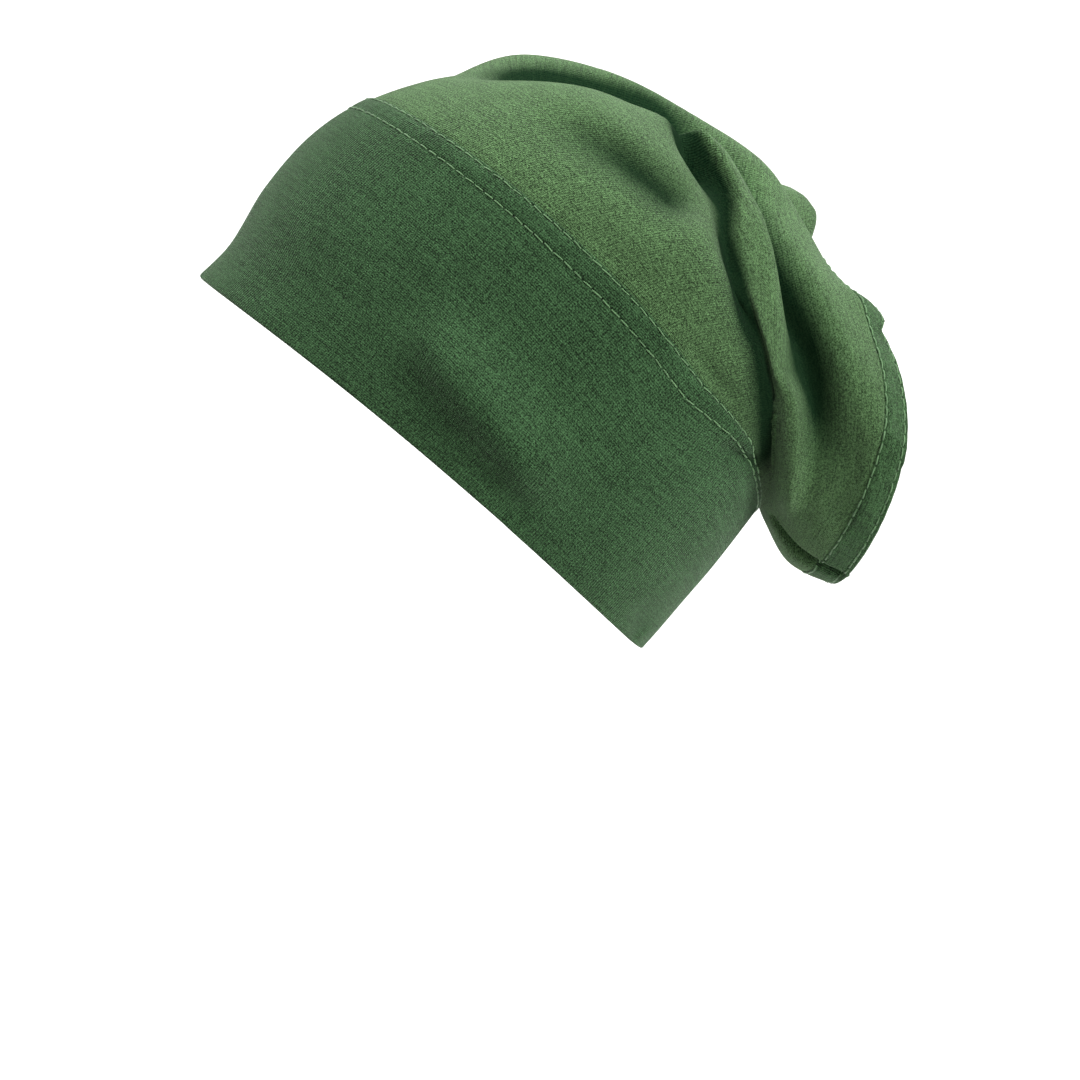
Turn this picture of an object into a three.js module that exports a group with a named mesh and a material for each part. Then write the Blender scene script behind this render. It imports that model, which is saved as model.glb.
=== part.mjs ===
import * as THREE from "three";

// Underscarf cap: a jersey tube, worn, with a doubled band round the face and an open, hemmed tail.
// Millimetres. The face side looks along -Y, +Z is up and +X is the wearer's left.
// The origin is inside the crown, on its middle line, where the top of a head comes to.

// Driving sizes of the worn cap
const capLength = 242; // front tip to the back of the tail, along Y
const capHeight = 208; // crown to the nape corner, along Z
const capWidth = 158; // side to side at the seam, along X
const tubeLength = 285; // cloth from the face edge to the tail's edge, over the top
const crownRise = 10; // the crown's outer face above the top of a head
const bandHeight = 92; // doubled band, face edge to its sewn edge, over the top
const hemDepth = 11; // turned hem round the tail's edge

// Cloth
const crownWall = 1.2; // one layer
const bandWall = 2.2; // two layers
const hemWall = 2; // turned double
const bandRise = 0.5; // how far the band stands proud of the crown
const hemRise = 0.4; // how far the hem stands proud of the crown
const pieceGap = 0.3; // clearance between sewn neighbours
const foldDepth = 10; // height of the deepest fold
const foldWidth = 20; // half width of the broadest fold

// How finely the cloth is faceted
const turnSteps = 72; // facets round the tube
const bandSteps = 8; // facets along the band
const crownSteps = [9, 15, 4]; // facets along the crown's smooth panel, its folds and its tail
const foldsBegin = 0.62; // where the side folds begin along the tube
const foldsEnd = 0.86; // where they end
const hemSteps = 2; // facets along the hem
const pathSteps = 12; // pieces that a fold's line is cut into
const nudge = 1e-3; // small step that measures a slope

// Hoops of the tube, from the face edge to the tail's edge. along is a share of tubeLength.
// topY, underY: share of capLength. topZ, underZ: share of capHeight. half: half width, a share of capWidth.
// bow, lowBow: how far the hoop's side bulges to the back, at mid height and low down, shares of capLength.
// widest: how far down the hoop its widest place lies. full: 2 is an ellipse, more is squarer.
const hoopColumns = ["along", "topY", "topZ", "underY", "underZ", "half", "bow", "lowBow", "widest", "full"];
const hoops = named(hoopColumns, [
  [0.0, -0.406, -0.366, 0.238, -0.999, 0.449, 0.023, 0, 0.5, 2.15],
  [0.06, -0.36, -0.313, 0.263, -0.966, 0.462, 0.03, 0, 0.5, 2.15],
  [0.14, -0.309, -0.219, 0.297, -0.919, 0.479, 0.036, 0, 0.5, 2.15],
  [0.23, -0.241, -0.132, 0.345, -0.853, 0.489, 0.042, 0.004, 0.5, 2.15],
  [0.322, -0.16, -0.075, 0.398, -0.771, 0.494, 0.049, 0.019, 0.5, 2.2],
  [0.42, -0.052, -0.036, 0.406, -0.756, 0.489, 0.059, 0.021, 0.5, 2.2],
  [0.52, 0.059, -0.016, 0.412, -0.747, 0.469, 0.059, 0.019, 0.5, 2.2],
  [0.62, 0.167, -0.041, 0.416, -0.749, 0.434, 0.045, 0.013, 0.5, 2.2],
  [0.7, 0.256, -0.088, 0.421, -0.76, 0.405, 0.029, 0.006, 0.52, 2.2],
  [0.78, 0.342, -0.157, 0.43, -0.791, 0.38, 0.032, 0.004, 0.54, 2.2],
  [0.88, 0.423, -0.244, 0.461, -0.855, 0.367, 0.066, 0, 0.57, 2.1],
  [1.0, 0.485, -0.337, 0.524, -0.891, 0.355, 0.092, -0.017, 0.59, 2],
]);

// Folds and soft forms. left and right are the widths on the two sides of the fold's run, shares of foldWidth.
// height is a share of foldDepth, below 0 for a crease. fadeIn and fadeOut are shares of the run.
// path is the run's places [turn, along]: turn is 0 over the top, 0.5 under the nape, less than 0 on the right.
const foldColumns = ["name", "left", "right", "height", "fadeIn", "fadeOut", "path"];
const folds = named(foldColumns, [
  ["near_ridge", 0.5, 0.7, 0.5, 0.4, 0.25, [[0.115, 0.36], [0.142, 0.5], [0.137, 0.585], [0.105, 0.71]]],
  ["side_roll", 0.4, 0.42, 0.65, 0.25, 0.3, [[0.09, 0.71], [0.13, 0.755], [0.23, 0.745], [0.33, 0.735], [0.42, 0.77]]],
  ["side_crease", 0.32, 0.5, -0.85, 0.2, 0.2, [[0.085, 0.7], [0.145, 0.705], [0.225, 0.65], [0.33, 0.53], [0.4, 0.5]]],
  ["top_valley", 0.5, 0.5, -0.75, 0.35, 0.3, [[0.07, 0.4], [0.08, 0.52], [0.075, 0.66], [0.085, 0.76]]],
  ["side_valley", 0.45, 0.42, -0.85, 0.35, 0.4, [[0.08, 0.72], [0.12, 0.79], [0.2, 0.82], [0.32, 0.84]]],
  ["centre_ridge", 0.6, 0.6, 0.75, 0.3, 0.1, [[-0.02, 0.36], [-0.01, 0.5], [0, 0.66], [0.03, 0.82], [0.05, 1.02]]],
  ["panel_dimple", 0.4, 0.5, -0.5, 0.5, 0.3, [[0.135, 0.41], [0.16, 0.45], [0.18, 0.485], [0.205, 0.55]]],
  ["far_crease", 0.5, 0.35, -0.8, 0.3, 0.25, [[-0.1, 0.64], [-0.18, 0.69], [-0.3, 0.6], [-0.41, 0.5]]],
  ["far_roll", 0.42, 0.4, 0.55, 0.3, 0.3, [[-0.1, 0.72], [-0.2, 0.75], [-0.3, 0.73], [-0.42, 0.77]]],
  ["far_valley", 0.45, 0.5, -0.75, 0.3, 0.35, [[-0.09, 0.5], [-0.075, 0.7], [-0.12, 0.8], [-0.22, 0.83]]],
  ["far_lobe", 0.6, 0.6, 0.4, 0.35, 0.35, [[-0.1, 0.78], [-0.11, 0.86], [-0.1, 0.93]]],
  ["ear_ridge", 0.5, 0.6, 0.3, 0.35, 0.3, [[0.2, 0.17], [0.239, 0.145], [0.268, 0.13], [0.325, 0.08]]],
  ["ear_hollow", 0.5, 0.5, -0.25, 0.35, 0.3, [[0.265, 0.075], [0.29, 0.052], [0.315, 0.03]]],
]);

// Rows of a table as records with its columns' names
function named(columns, rows) {
  return rows.map((row) => Object.fromEntries(columns.map((column, k) => [column, row[k]])));
}

const bandCloth = new THREE.MeshStandardMaterial({ color: 0x2f5a33, roughness: 0.9, metalness: 0 });
const crownCloth = new THREE.MeshStandardMaterial({ color: 0x3a6b3a, roughness: 0.9, metalness: 0 });

const ease = (t) => THREE.MathUtils.smoothstep(t, 0, 1);

// Smooth value of one column of the hoop table at a place along the tube
function column(name, along) {
  const last = hoops.length - 1;
  let i = 0;
  while (i < last - 1 && along > hoops[i + 1].along) i++;
  const slope = (k) => {
    const a = hoops[Math.max(k - 1, 0)];
    const b = hoops[Math.min(k + 1, last)];
    return (b[name] - a[name]) / (b.along - a.along);
  };
  const step = hoops[i + 1].along - hoops[i].along;
  const t = (along - hoops[i].along) / step;
  const t2 = t * t;
  const t3 = t2 * t;
  return (
    (2 * t3 - 3 * t2 + 1) * hoops[i][name] +
    (t3 - 2 * t2 + t) * step * slope(i) +
    (3 * t2 - 2 * t3) * hoops[i + 1][name] +
    (t3 - t2) * step * slope(i + 1)
  );
}

// The tube before its folds: a point of the crown's outer face
function smoothTube(turn, along) {
  const angle = turn * 2 * Math.PI;
  const full = column("full", along);
  const rounded = (v, power) => Math.sign(v) * Math.abs(v) ** power;
  const evenDrop = THREE.MathUtils.clamp((1 - rounded(Math.cos(angle), 2 / full)) / 2, 0, 1);
  const drop = evenDrop ** (Math.log(column("widest", along)) / Math.log(0.5));
  const top = new THREE.Vector2(column("topY", along) * capLength, column("topZ", along) * capHeight);
  const under = new THREE.Vector2(column("underY", along) * capLength, column("underZ", along) * capHeight);
  const chord = under.clone().sub(top);
  const backward = new THREE.Vector2(-chord.y, chord.x).normalize();
  const midBulge = 4 * drop * (1 - drop);
  const lowBulge = (drop ** 3 * (1 - drop) * 256) / 27;
  const bulge = (column("bow", along) * midBulge + column("lowBow", along) * lowBulge) * capLength;
  const side = top.addScaledVector(chord, drop).addScaledVector(backward, bulge);
  const half = column("half", along) * capWidth;
  return new THREE.Vector3(rounded(Math.sin(angle), 2 / full) * half, side.x, crownRise + side.y);
}

// A unit vector that points out of a face
function outward(face, turn, along) {
  const round = face(turn + nudge, along).sub(face(turn - nudge, along));
  const run = face(turn, along + nudge).sub(face(turn, along - nudge));
  return round.cross(run).normalize();
}

// Each fold's line on the tube, cut into short straight pieces
for (const fold of folds) {
  const run = new THREE.SplineCurve(fold.path.map((place) => new THREE.Vector2(...place)));
  const toPlace = ({ x, y }) => ({ turn: x, along: y, point: smoothTube(x, y) });
  fold.line = run.getPoints(pathSteps).map(toPlace);
}

// How far one fold lifts the cloth at a place on the tube
function lift(fold, turn, along, point) {
  let nearest = Infinity;
  let share = 0;
  let onLeft = false;
  for (let k = 0; k < pathSteps; k++) {
    const a = fold.line[k];
    const b = fold.line[k + 1];
    const piece = new THREE.Line3(a.point, b.point);
    const t = piece.closestPointToPointParameter(point, true);
    const distance = piece.at(t, new THREE.Vector3()).distanceTo(point);
    if (distance < nearest) {
      nearest = distance;
      share = (k + t) / pathSteps;
      onLeft = (b.turn - a.turn) * (along - a.along) - (b.along - a.along) * (turn - a.turn) > 0;
    }
  }
  const width = (onLeft ? fold.left : fold.right) * foldWidth;
  const profile = Math.exp(-((nearest / width) ** 2));
  return fold.height * foldDepth * profile * ease(share / fold.fadeIn) * ease((1 - share) / fold.fadeOut);
}

// The folded tube
function foldedTube(turn, along) {
  const point = smoothTube(turn, along);
  const signedTurn = turn > 0.5 ? turn - 1 : turn;
  let height = 0;
  for (const fold of folds) height += lift(fold, signedTurn, along, point);
  return point.addScaledVector(outward(smoothTube, turn, along), height);
}

// Millimetres of cloth for a whole step along the tube, at one place
function reach(turn, along) {
  return smoothTube(turn, along + nudge).distanceTo(smoothTube(turn, along - nudge)) / (2 * nudge);
}

// Places along the tube, from one line to the next, each stretch cut into its own number of steps
function rulings(turn, lines, counts) {
  const alongs = [lines[0](turn)];
  counts.forEach((count, k) => {
    const from = lines[k](turn);
    const to = lines[k + 1](turn);
    for (let j = 1; j <= count; j++) alongs.push(THREE.MathUtils.lerp(from, to, j / count));
  });
  return alongs;
}

// A closed wall between lines round the tube, its outer face lifted by rise
function clothWall(lines, counts, rise, wall) {
  const places = [];
  const row = turnSteps;
  const steps = counts.reduce((sum, count) => sum + count);
  const alongs = [];
  for (let i = 0; i < row; i++) alongs.push(rulings(i / row, lines, counts));
  for (const depth of [rise, rise - wall]) {
    for (let j = 0; j <= steps; j++) {
      for (let i = 0; i < row; i++) {
        const turn = i / row;
        const along = alongs[i][j];
        const point = foldedTube(turn, along).addScaledVector(outward(foldedTube, turn, along), depth);
        places.push(point.x, point.y, point.z);
      }
    }
  }
  const inner = row * (steps + 1);
  const faces = [];
  const quad = (a, b, c, d) => faces.push(a, d, c, a, c, b);
  for (let i = 0; i < row; i++) {
    const next = (i + 1) % row;
    for (let j = 0; j < steps; j++) {
      const a = j * row;
      const b = a + row;
      quad(a + i, b + i, b + next, a + next);
      quad(inner + a + i, inner + a + next, inner + b + next, inner + b + i);
    }
    const last = steps * row;
    quad(i, next, inner + next, inner + i);
    quad(last + i, inner + last + i, inner + last + next, last + next);
  }
  const geometry = new THREE.BufferGeometry();
  geometry.setAttribute("position", new THREE.Float32BufferAttribute(places, 3));
  geometry.setIndex(faces);
  geometry.computeVertexNormals();
  return geometry;
}

// Where each piece begins and ends along the tube, all the way round
const seam = bandHeight / tubeLength;
const faceEdge = () => 0;
const bandEnd = () => seam;
const tailEdge = () => 1;
const crownStart = (turn) => seam + pieceGap / reach(turn, seam);
const hemStart = (turn) => 1 - hemDepth / reach(turn, 1);
const crownEnd = (turn) => hemStart(turn) - pieceGap / reach(turn, hemStart(turn));

function piece(name, geometry, material) {
  const mesh = new THREE.Mesh(geometry, material);
  mesh.name = name;
  return mesh;
}

const cap = new THREE.Group();
cap.add(
  piece("front_band", clothWall([faceEdge, bandEnd], [bandSteps], bandRise, bandWall), bandCloth),
  piece("crown", clothWall([crownStart, () => foldsBegin, () => foldsEnd, crownEnd], crownSteps, 0, crownWall), crownCloth),
  piece("back_hem", clothWall([hemStart, tailEdge], [hemSteps], hemRise, hemWall), crownCloth),
);

export default cap;
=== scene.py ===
import math
from typing import NamedTuple

import bpy
import numpy as np
from bpy.props import FloatProperty, FloatVectorProperty, IntProperty, PointerProperty
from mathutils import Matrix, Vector


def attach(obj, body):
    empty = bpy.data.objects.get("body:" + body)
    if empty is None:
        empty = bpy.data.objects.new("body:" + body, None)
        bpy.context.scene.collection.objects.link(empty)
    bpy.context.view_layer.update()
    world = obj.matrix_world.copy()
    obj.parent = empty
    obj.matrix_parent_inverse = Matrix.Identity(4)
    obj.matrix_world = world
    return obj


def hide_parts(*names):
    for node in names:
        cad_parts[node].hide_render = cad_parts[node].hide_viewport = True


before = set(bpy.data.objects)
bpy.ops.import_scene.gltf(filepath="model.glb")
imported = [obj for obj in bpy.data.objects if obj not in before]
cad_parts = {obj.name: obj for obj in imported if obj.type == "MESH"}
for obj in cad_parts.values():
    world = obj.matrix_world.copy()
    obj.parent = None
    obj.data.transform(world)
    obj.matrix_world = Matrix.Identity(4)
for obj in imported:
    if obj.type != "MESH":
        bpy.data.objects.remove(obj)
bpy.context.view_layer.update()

bl_info = {
    "name": "Underscarf Cap",
    "version": (1, 0, 0),
    "blender": (4, 5, 0),
    "location": "View3D > Sidebar > Underscarf",
    "description": "A jersey underscarf cap in its worn folds, with its seams, hem and studio",
    "category": "Add Mesh",
}

# Hoops of the tube from the face edge to the tail's edge. along is a share of the tube's length. top and
# under are shares of the cap's length and height, and half is a share of its width. bow and low_bow say how
# far the side bulges back, at mid height and low down. widest is how far down the widest place lies. full is
# 2 for an ellipse.
HOOP_COLUMNS = ("along", "top_y", "top_z", "under_y", "under_z", "half", "bow", "low_bow", "widest", "full")
HOOPS = np.array([
    (0.000, -0.406, -0.366, 0.238, -0.999, 0.449, 0.023, 0.000, 0.50, 2.15),
    (0.060, -0.360, -0.313, 0.263, -0.966, 0.462, 0.030, 0.000, 0.50, 2.15),
    (0.140, -0.309, -0.219, 0.297, -0.919, 0.479, 0.036, 0.000, 0.50, 2.15),
    (0.230, -0.241, -0.132, 0.345, -0.853, 0.489, 0.042, 0.004, 0.50, 2.15),
    (0.322, -0.160, -0.075, 0.398, -0.771, 0.494, 0.049, 0.019, 0.50, 2.20),
    (0.420, -0.052, -0.036, 0.406, -0.756, 0.489, 0.059, 0.021, 0.50, 2.20),
    (0.520, 0.059, -0.016, 0.412, -0.747, 0.469, 0.059, 0.019, 0.50, 2.20),
    (0.620, 0.167, -0.041, 0.416, -0.749, 0.434, 0.045, 0.013, 0.50, 2.20),
    (0.700, 0.256, -0.088, 0.421, -0.760, 0.405, 0.029, 0.006, 0.52, 2.20),
    (0.780, 0.342, -0.157, 0.430, -0.791, 0.380, 0.032, 0.004, 0.54, 2.20),
    (0.880, 0.423, -0.244, 0.461, -0.855, 0.367, 0.066, 0.000, 0.57, 2.10),
    (1.000, 0.485, -0.337, 0.524, -0.891, 0.355, 0.092, -0.017, 0.59, 2.00),
])


class Fold(NamedTuple):
    """One run of a fold. left and right are its widths as shares of the fold width. height and pull are
    shares of the fold depth, up from the cloth and over to the right of the run. shade is how much painted
    shade the run lays into the cloth's colour: 1 is full painted shade along the run, and more than 1 widens
    it. The fades are shares of the run."""

    path: tuple
    left: float
    right: float
    height: float
    fade_in: float
    fade_out: float
    pull: float = 0.0
    shade: float = 0.0


# Each fold runs through a few places (turn, along). turn is 0 over the top, 0.5 under the nape and below 0
# on the wearer's right. along is a share of the tube's length, from the face edge.
FOLDS = {
    "near_ridge": Fold(
        ((0.118, 0.38), (0.122, 0.5), (0.12, 0.6), (0.112, 0.66), (0.104, 0.705), (0.103, 0.735)),
        left=0.3, right=0.75, height=0.12, fade_in=0.35, fade_out=0.2,
    ),
    "side_roll": Fold(
        ((0.118, 0.61), (0.112, 0.66), (0.104, 0.695), (0.103, 0.722), (0.112, 0.743), (0.13, 0.755),
         (0.165, 0.76), (0.211, 0.762), (0.255, 0.766), (0.293, 0.773), (0.33, 0.784)),
        left=0.26, right=0.42, height=0.65, fade_in=0.22, fade_out=0.4,
    ),
    "low_roll": Fold(
        ((0.211, 0.764), (0.255, 0.768), (0.293, 0.775), (0.33, 0.785), (0.365, 0.79), (0.4, 0.8),
         (0.43, 0.81)),
        left=0.15, right=0.4, height=0.4, fade_in=0.35, fade_out=0.3,
    ),
    "low_lip": Fold(
        ((0.23, 0.66), (0.262, 0.645), (0.295, 0.635), (0.325, 0.625), (0.35, 0.6)),
        left=0.15, right=0.3, height=0, pull=0.55, fade_in=0.4, fade_out=0.35,
    ),
    "side_lip": Fold(
        ((0.088, 0.7), (0.152, 0.732), (0.22, 0.69), (0.25, 0.65)),
        left=0.09, right=0.36, height=0, pull=0.3, fade_in=0.12, fade_out=0.6,
    ),
    "side_crease": Fold(
        ((0.088, 0.7), (0.152, 0.732), (0.23, 0.676), (0.29, 0.594), (0.315, 0.56)),
        left=0.09, right=0.36, height=-0.38, shade=1.1, fade_in=0.1, fade_out=0.5,
    ),
    "low_crease": Fold(
        ((0.2, 0.705), (0.23, 0.676), (0.29, 0.594), (0.338, 0.53), (0.378, 0.486), (0.41, 0.465),
         (0.435, 0.468)),
        left=0.2, right=0.3, height=-0.08, shade=1.1, fade_in=0.3, fade_out=0.25,
    ),
    "pocket": Fold(
        ((0.08, 0.69), (0.11, 0.704), (0.14, 0.716), (0.19, 0.706)),
        left=0.18, right=0.42, height=-0.7, shade=1.5, fade_in=0.3, fade_out=0.5,
    ),
    "top_valley": Fold(
        ((0.06, 0.39), (0.056, 0.46), (0.053, 0.52), (0.053, 0.59), (0.052, 0.66), (0.055, 0.71),
         (0.066, 0.76)),
        left=0.6, right=0.8, height=-1.15, shade=0.9, fade_in=0.45, fade_out=0.25,
    ),
    # Mostly painted shade: a slight dip, with shade painted onto the slope behind the near ridge
    "top_slope": Fold(
        ((0.04, 0.42), (0.032, 0.48), (0.03, 0.54), (0.03, 0.62), (0.032, 0.7), (0.045, 0.76)),
        left=0.45, right=0.8, height=-0.1, shade=1.25, fade_in=0.45, fade_out=0.3,
    ),
    "side_valley": Fold(
        ((0.054, 0.69), (0.064, 0.735), (0.085, 0.765), (0.123, 0.785), (0.184, 0.802), (0.231, 0.812),
         (0.29, 0.82), (0.34, 0.828), (0.38, 0.84)),
        left=0.42, right=0.22, height=-1.3, shade=1.7, fade_in=0.13, fade_out=0.45,
    ),
    "tail_ridge": Fold(
        ((0.045, 0.74), (0.055, 0.82), (0.06, 0.9), (0.07, 0.98)),
        left=0.5, right=0.6, height=0.35, fade_in=0.4, fade_out=0.4,
    ),
    "centre_ridge": Fold(
        ((-0.02, 0.36), (-0.01, 0.5), (0, 0.66), (0.03, 0.82), (0.04, 0.94)),
        left=0.6, right=0.6, height=0.75, fade_in=0.3, fade_out=0.3,
    ),
    "panel_dimple": Fold(
        ((0.142, 0.41), (0.168, 0.455), (0.195, 0.5), (0.218, 0.54), (0.238, 0.575)),
        left=0.42, right=0.5, height=-0.5, shade=0.95, fade_in=0.6, fade_out=0.25,
    ),
    "far_crease": Fold(
        ((-0.1, 0.64), (-0.18, 0.69), (-0.3, 0.6), (-0.41, 0.48)),
        left=0.42, right=0.2, height=-0.95, shade=0.8, fade_in=0.25, fade_out=0.25,
    ),
    "far_roll": Fold(
        ((-0.1, 0.72), (-0.2, 0.75), (-0.3, 0.72), (-0.42, 0.77)),
        left=0.4, right=0.33, height=0.6, fade_in=0.3, fade_out=0.3,
    ),
    "far_valley": Fold(
        ((-0.09, 0.5), (-0.075, 0.7), (-0.12, 0.8), (-0.22, 0.83)),
        left=0.42, right=0.45, height=-0.9, shade=0.7, fade_in=0.25, fade_out=0.35,
    ),
    "far_lobe": Fold(
        ((-0.055, 0.81), (-0.048, 0.87), (-0.038, 0.93), (-0.03, 0.985)),
        left=0.6, right=0.6, height=1.6, fade_in=0.45, fade_out=0.45,
    ),
    "top_lobe": Fold(
        ((-0.03, 0.82), (-0.01, 0.88), (0.005, 0.94)),
        left=0.5, right=0.55, height=0.8, fade_in=0.45, fade_out=0.5,
    ),
    "ear_ridge": Fold(
        ((0.205, 0.13), (0.247, 0.107), (0.28, 0.09), (0.322, 0.052)),
        left=0.62, right=0.42, height=0.8, fade_in=0.35, fade_out=0.3,
    ),
    "ear_hollow": Fold(
        ((0.265, 0.07), (0.29, 0.047), (0.315, 0.026)),
        left=0.4, right=0.4, height=-0.25, fade_in=0.35, fade_out=0.3,
    ),
    "under_edge": Fold(
        ((0.47, 0.72), (0.468, 0.79), (0.455, 0.84), (0.442, 0.9), (0.436, 1)),
        left=0.14, right=0.18, height=-0.55, pull=-0.2, shade=0.7, fade_in=0.2, fade_out=0.05,
    ),
}

# Small wrinkles, laid in the same way
WRINKLES = {
    "nape_pucker": Fold(
        ((0.345, 0.3), (0.375, 0.335), (0.4, 0.4)),
        left=0.1, right=0.14, height=0.14, fade_in=0.4, fade_out=0.4,
    ),
    "nape_tuck": Fold(
        ((0.36, 0.29), (0.392, 0.33), (0.415, 0.395)),
        left=0.1, right=0.12, height=-0.14, shade=0.3, fade_in=0.4, fade_out=0.4,
    ),
    "corner_fold": Fold(
        ((0.45, 0.01), (0.43, 0.04), (0.4, 0.06)),
        left=0.22, right=0.3, height=-0.14, shade=0.25, fade_in=0.3, fade_out=0.6,
    ),
    "seam_sag": Fold(
        ((0.3, 0.345), (0.33, 0.35), (0.37, 0.395)),
        left=0.16, right=0.2, height=-0.14, shade=0.2, fade_in=0.4, fade_out=0.4,
    ),
    "tail_pleat": Fold(
        ((0.455, 0.87), (0.435, 0.93), (0.428, 1)),
        left=0.16, right=0.24, height=0.12, fade_in=0.4, fade_out=0.05,
    ),
    "hem_corner": Fold(
        ((0.11, 0.92), (0.118, 0.97), (0.122, 1.01)),
        left=0.3, right=0.3, height=0.3, fade_in=0.6, fade_out=0.05,
    ),
    "hem_swell": Fold(
        ((0.25, 0.9), (0.255, 0.96), (0.258, 1.01)),
        left=0.35, right=0.35, height=0.15, fade_in=0.5, fade_out=0.02,
    ),
    "tail_furrow": Fold(
        ((0.235, 0.86), (0.29, 0.89), (0.345, 0.905), (0.39, 0.9)),
        left=0.25, right=0.35, height=-0.16, shade=0.15, fade_in=0.4, fade_out=0.4,
    ),
    "tail_swell": Fold(
        ((0.18, 0.88), (0.24, 0.925), (0.31, 0.94), (0.37, 0.935)),
        left=0.35, right=0.35, height=0.18, fade_in=0.4, fade_out=0.4,
    ),
    "panel_swell": Fold(
        ((0.23, 0.4), (0.27, 0.45), (0.3, 0.5)),
        left=0.7, right=0.7, height=0.15, fade_in=0.4, fade_out=0.4,
    ),
}


class CapSizes(bpy.types.PropertyGroup):
    """Real sizes of the worn cap, in metres."""

    length: FloatProperty(
        name="Length", description="Front tip to the back of the tail", default=0.242, unit="LENGTH"
    )
    height: FloatProperty(
        name="Height", description="Crown to the nape corner", default=0.208, unit="LENGTH"
    )
    width: FloatProperty(name="Width", description="Side to side at the seam", default=0.158, unit="LENGTH")
    tube: FloatProperty(
        name="Tube length", description="Cloth over the top, edge to edge", default=0.285, unit="LENGTH"
    )
    girth: FloatProperty(name="Girth", description="Cloth round the tube", default=0.5, unit="LENGTH")
    crown_rise: FloatProperty(
        name="Crown rise", description="Crown above the origin", default=0.010, unit="LENGTH"
    )
    band: FloatProperty(
        name="Band height", description="Doubled band, edge to seam", default=0.092, unit="LENGTH"
    )
    hem: FloatProperty(
        name="Hem depth", description="Turned hem round the tail", default=0.011, unit="LENGTH"
    )
    crown_wall: FloatProperty(
        name="Crown wall", description="One layer of jersey", default=0.0011, unit="LENGTH"
    )
    band_wall: FloatProperty(
        name="Band wall", description="Two layers of jersey", default=0.0022, unit="LENGTH"
    )
    hem_wall: FloatProperty(
        name="Hem wall", description="Jersey turned double", default=0.0018, unit="LENGTH"
    )
    band_rise: FloatProperty(
        name="Band rise", description="Band's height over the crown", default=0.0007, unit="LENGTH"
    )
    nape_draw: FloatProperty(
        name="Nape draw", description="Seam drawn back at the nape", default=0.016, unit="LENGTH"
    )
    lap: FloatProperty(
        name="Lap", description="Crown edge tucked under its neighbour", default=0.005, unit="LENGTH"
    )
    crown_share: FloatProperty(
        name="Crown share", description="Cut panel's share of its rectangle", default=0.68
    )
    fold_depth: FloatProperty(name="Fold depth", description="Deepest fold", default=0.010, unit="LENGTH")
    fold_width: FloatProperty(
        name="Fold width", description="Broadest fold's half width", default=0.020, unit="LENGTH"
    )
    columns: IntProperty(name="Columns", description="Mesh columns round the tube", default=360, min=60)


class StitchSizes(bpy.types.PropertyGroup):
    """Sizes of the sewing, in metres."""

    pitch: FloatProperty(name="Pitch", description="One stitch and its gap", default=0.0042, unit="LENGTH")
    length: FloatProperty(
        name="Length", description="Thread that shows in one stitch", default=0.0035, unit="LENGTH"
    )
    thread: FloatProperty(name="Thread", description="Thread thickness", default=0.00055, unit="LENGTH")
    edge_row: FloatProperty(
        name="Edge row", description="Seam's edge stitch from the edge", default=0.0012, unit="LENGTH"
    )
    inner_row: FloatProperty(
        name="Inner row", description="Seam's second row from the edge", default=0.0087, unit="LENGTH"
    )
    hem_edge_row: FloatProperty(
        name="Hem edge row", description="Row near the tail's edge", default=0.0019, unit="LENGTH"
    )
    hem_inner_row: FloatProperty(
        name="Hem inner row", description="Row at the hem's top", default=0.0105, unit="LENGTH"
    )
    groove: FloatProperty(
        name="Groove", description="How deep a row draws the cloth in", default=0.00035, unit="LENGTH"
    )


class CapColours(bpy.types.PropertyGroup):
    """Colours of the cloth, thread and studio."""

    band: FloatVectorProperty(
        name="Band", description="Doubled jersey", subtype="COLOR", size=3, default=(0.036, 0.087, 0.034)
    )
    crown: FloatVectorProperty(
        name="Crown", description="Single jersey", subtype="COLOR", size=3, default=(0.076, 0.150, 0.058)
    )
    hem: FloatVectorProperty(
        name="Hem", description="Turned jersey", subtype="COLOR", size=3, default=(0.046, 0.105, 0.040)
    )
    thread: FloatVectorProperty(
        name="Thread", description="Sewing thread", subtype="COLOR", size=3, default=(0.12, 0.25, 0.10)
    )
    floor: FloatVectorProperty(
        name="Floor", description="Pale floor", subtype="COLOR", size=3, default=(0.86, 0.86, 0.85)
    )


# Step in turn or along at which a slope is measured
NUDGE = 1e-3

# One rib of the knit, in metres
RIB = 0.00092


def ease(t):
    """Smooth step from 0 to 1."""
    t = np.clip(t, 0, 1)
    return t * t * (3 - 2 * t)


def column(name, along):
    """Smooth value of one column of the hoop table."""
    places = HOOPS[:, 0]
    values = HOOPS[:, HOOP_COLUMNS.index(name)]
    slopes = np.gradient(values, places)
    slopes[1:-1] = (values[2:] - values[:-2]) / (places[2:] - places[:-2])
    i = np.clip(np.searchsorted(places, along, side="right") - 1, 0, len(places) - 2)
    step = places[i + 1] - places[i]
    t = (along - places[i]) / step
    t2, t3 = t * t, t * t * t
    start = (2 * t3 - 3 * t2 + 1) * values[i] + (t3 - 2 * t2 + t) * step * slopes[i]
    return start + (3 * t2 - 2 * t3) * values[i + 1] + (t3 - t2) * step * slopes[i + 1]


def outward(face, turn, along):
    """Unit vectors that point out of a face."""
    run = face(turn, along + NUDGE) - face(turn, along - NUDGE)
    around = face(turn + NUDGE, along) - face(turn - NUDGE, along)
    normal = np.cross(around, run)
    return normal / np.maximum(np.linalg.norm(normal, axis=-1, keepdims=True), 1e-12)


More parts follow.
